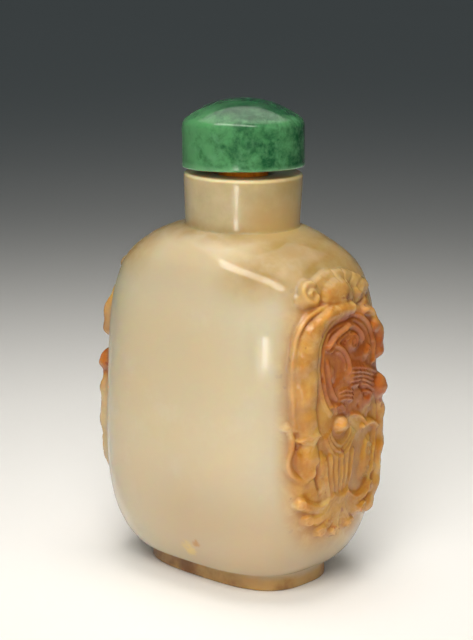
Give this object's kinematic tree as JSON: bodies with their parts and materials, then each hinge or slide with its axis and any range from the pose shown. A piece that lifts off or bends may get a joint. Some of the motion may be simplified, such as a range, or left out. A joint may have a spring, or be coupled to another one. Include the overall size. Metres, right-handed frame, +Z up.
{
  "type": "snuff bottle",
  "caption": "Flattened carved hardstone snuff bottle: smooth broad faces, relief on the narrow sides, oval foot rim, short neck, hollow inside, with a domed green stone cap on a cork plug.",
  "frame": {"origin": "middle of the foot rim's underside", "axes": "+Z up; X across the broad faces, with the carved narrow sides facing +X and -X; Y through the thickness"},
  "size_m": [0.0422, 0.0304, 0.07],
  "materials": {
    "body_stone": "polished translucent pale hardstone with an amber and russet skin over the carving",
    "cap_stone": "polished mottled green stone",
    "cork": "dark orange-brown cork"
  },
  "bodies": {
    "root": {"bottle": "body_stone", "stopper_cap": "cap_stone", "stopper_plug": "cork"}
  },
  "joints": []
}
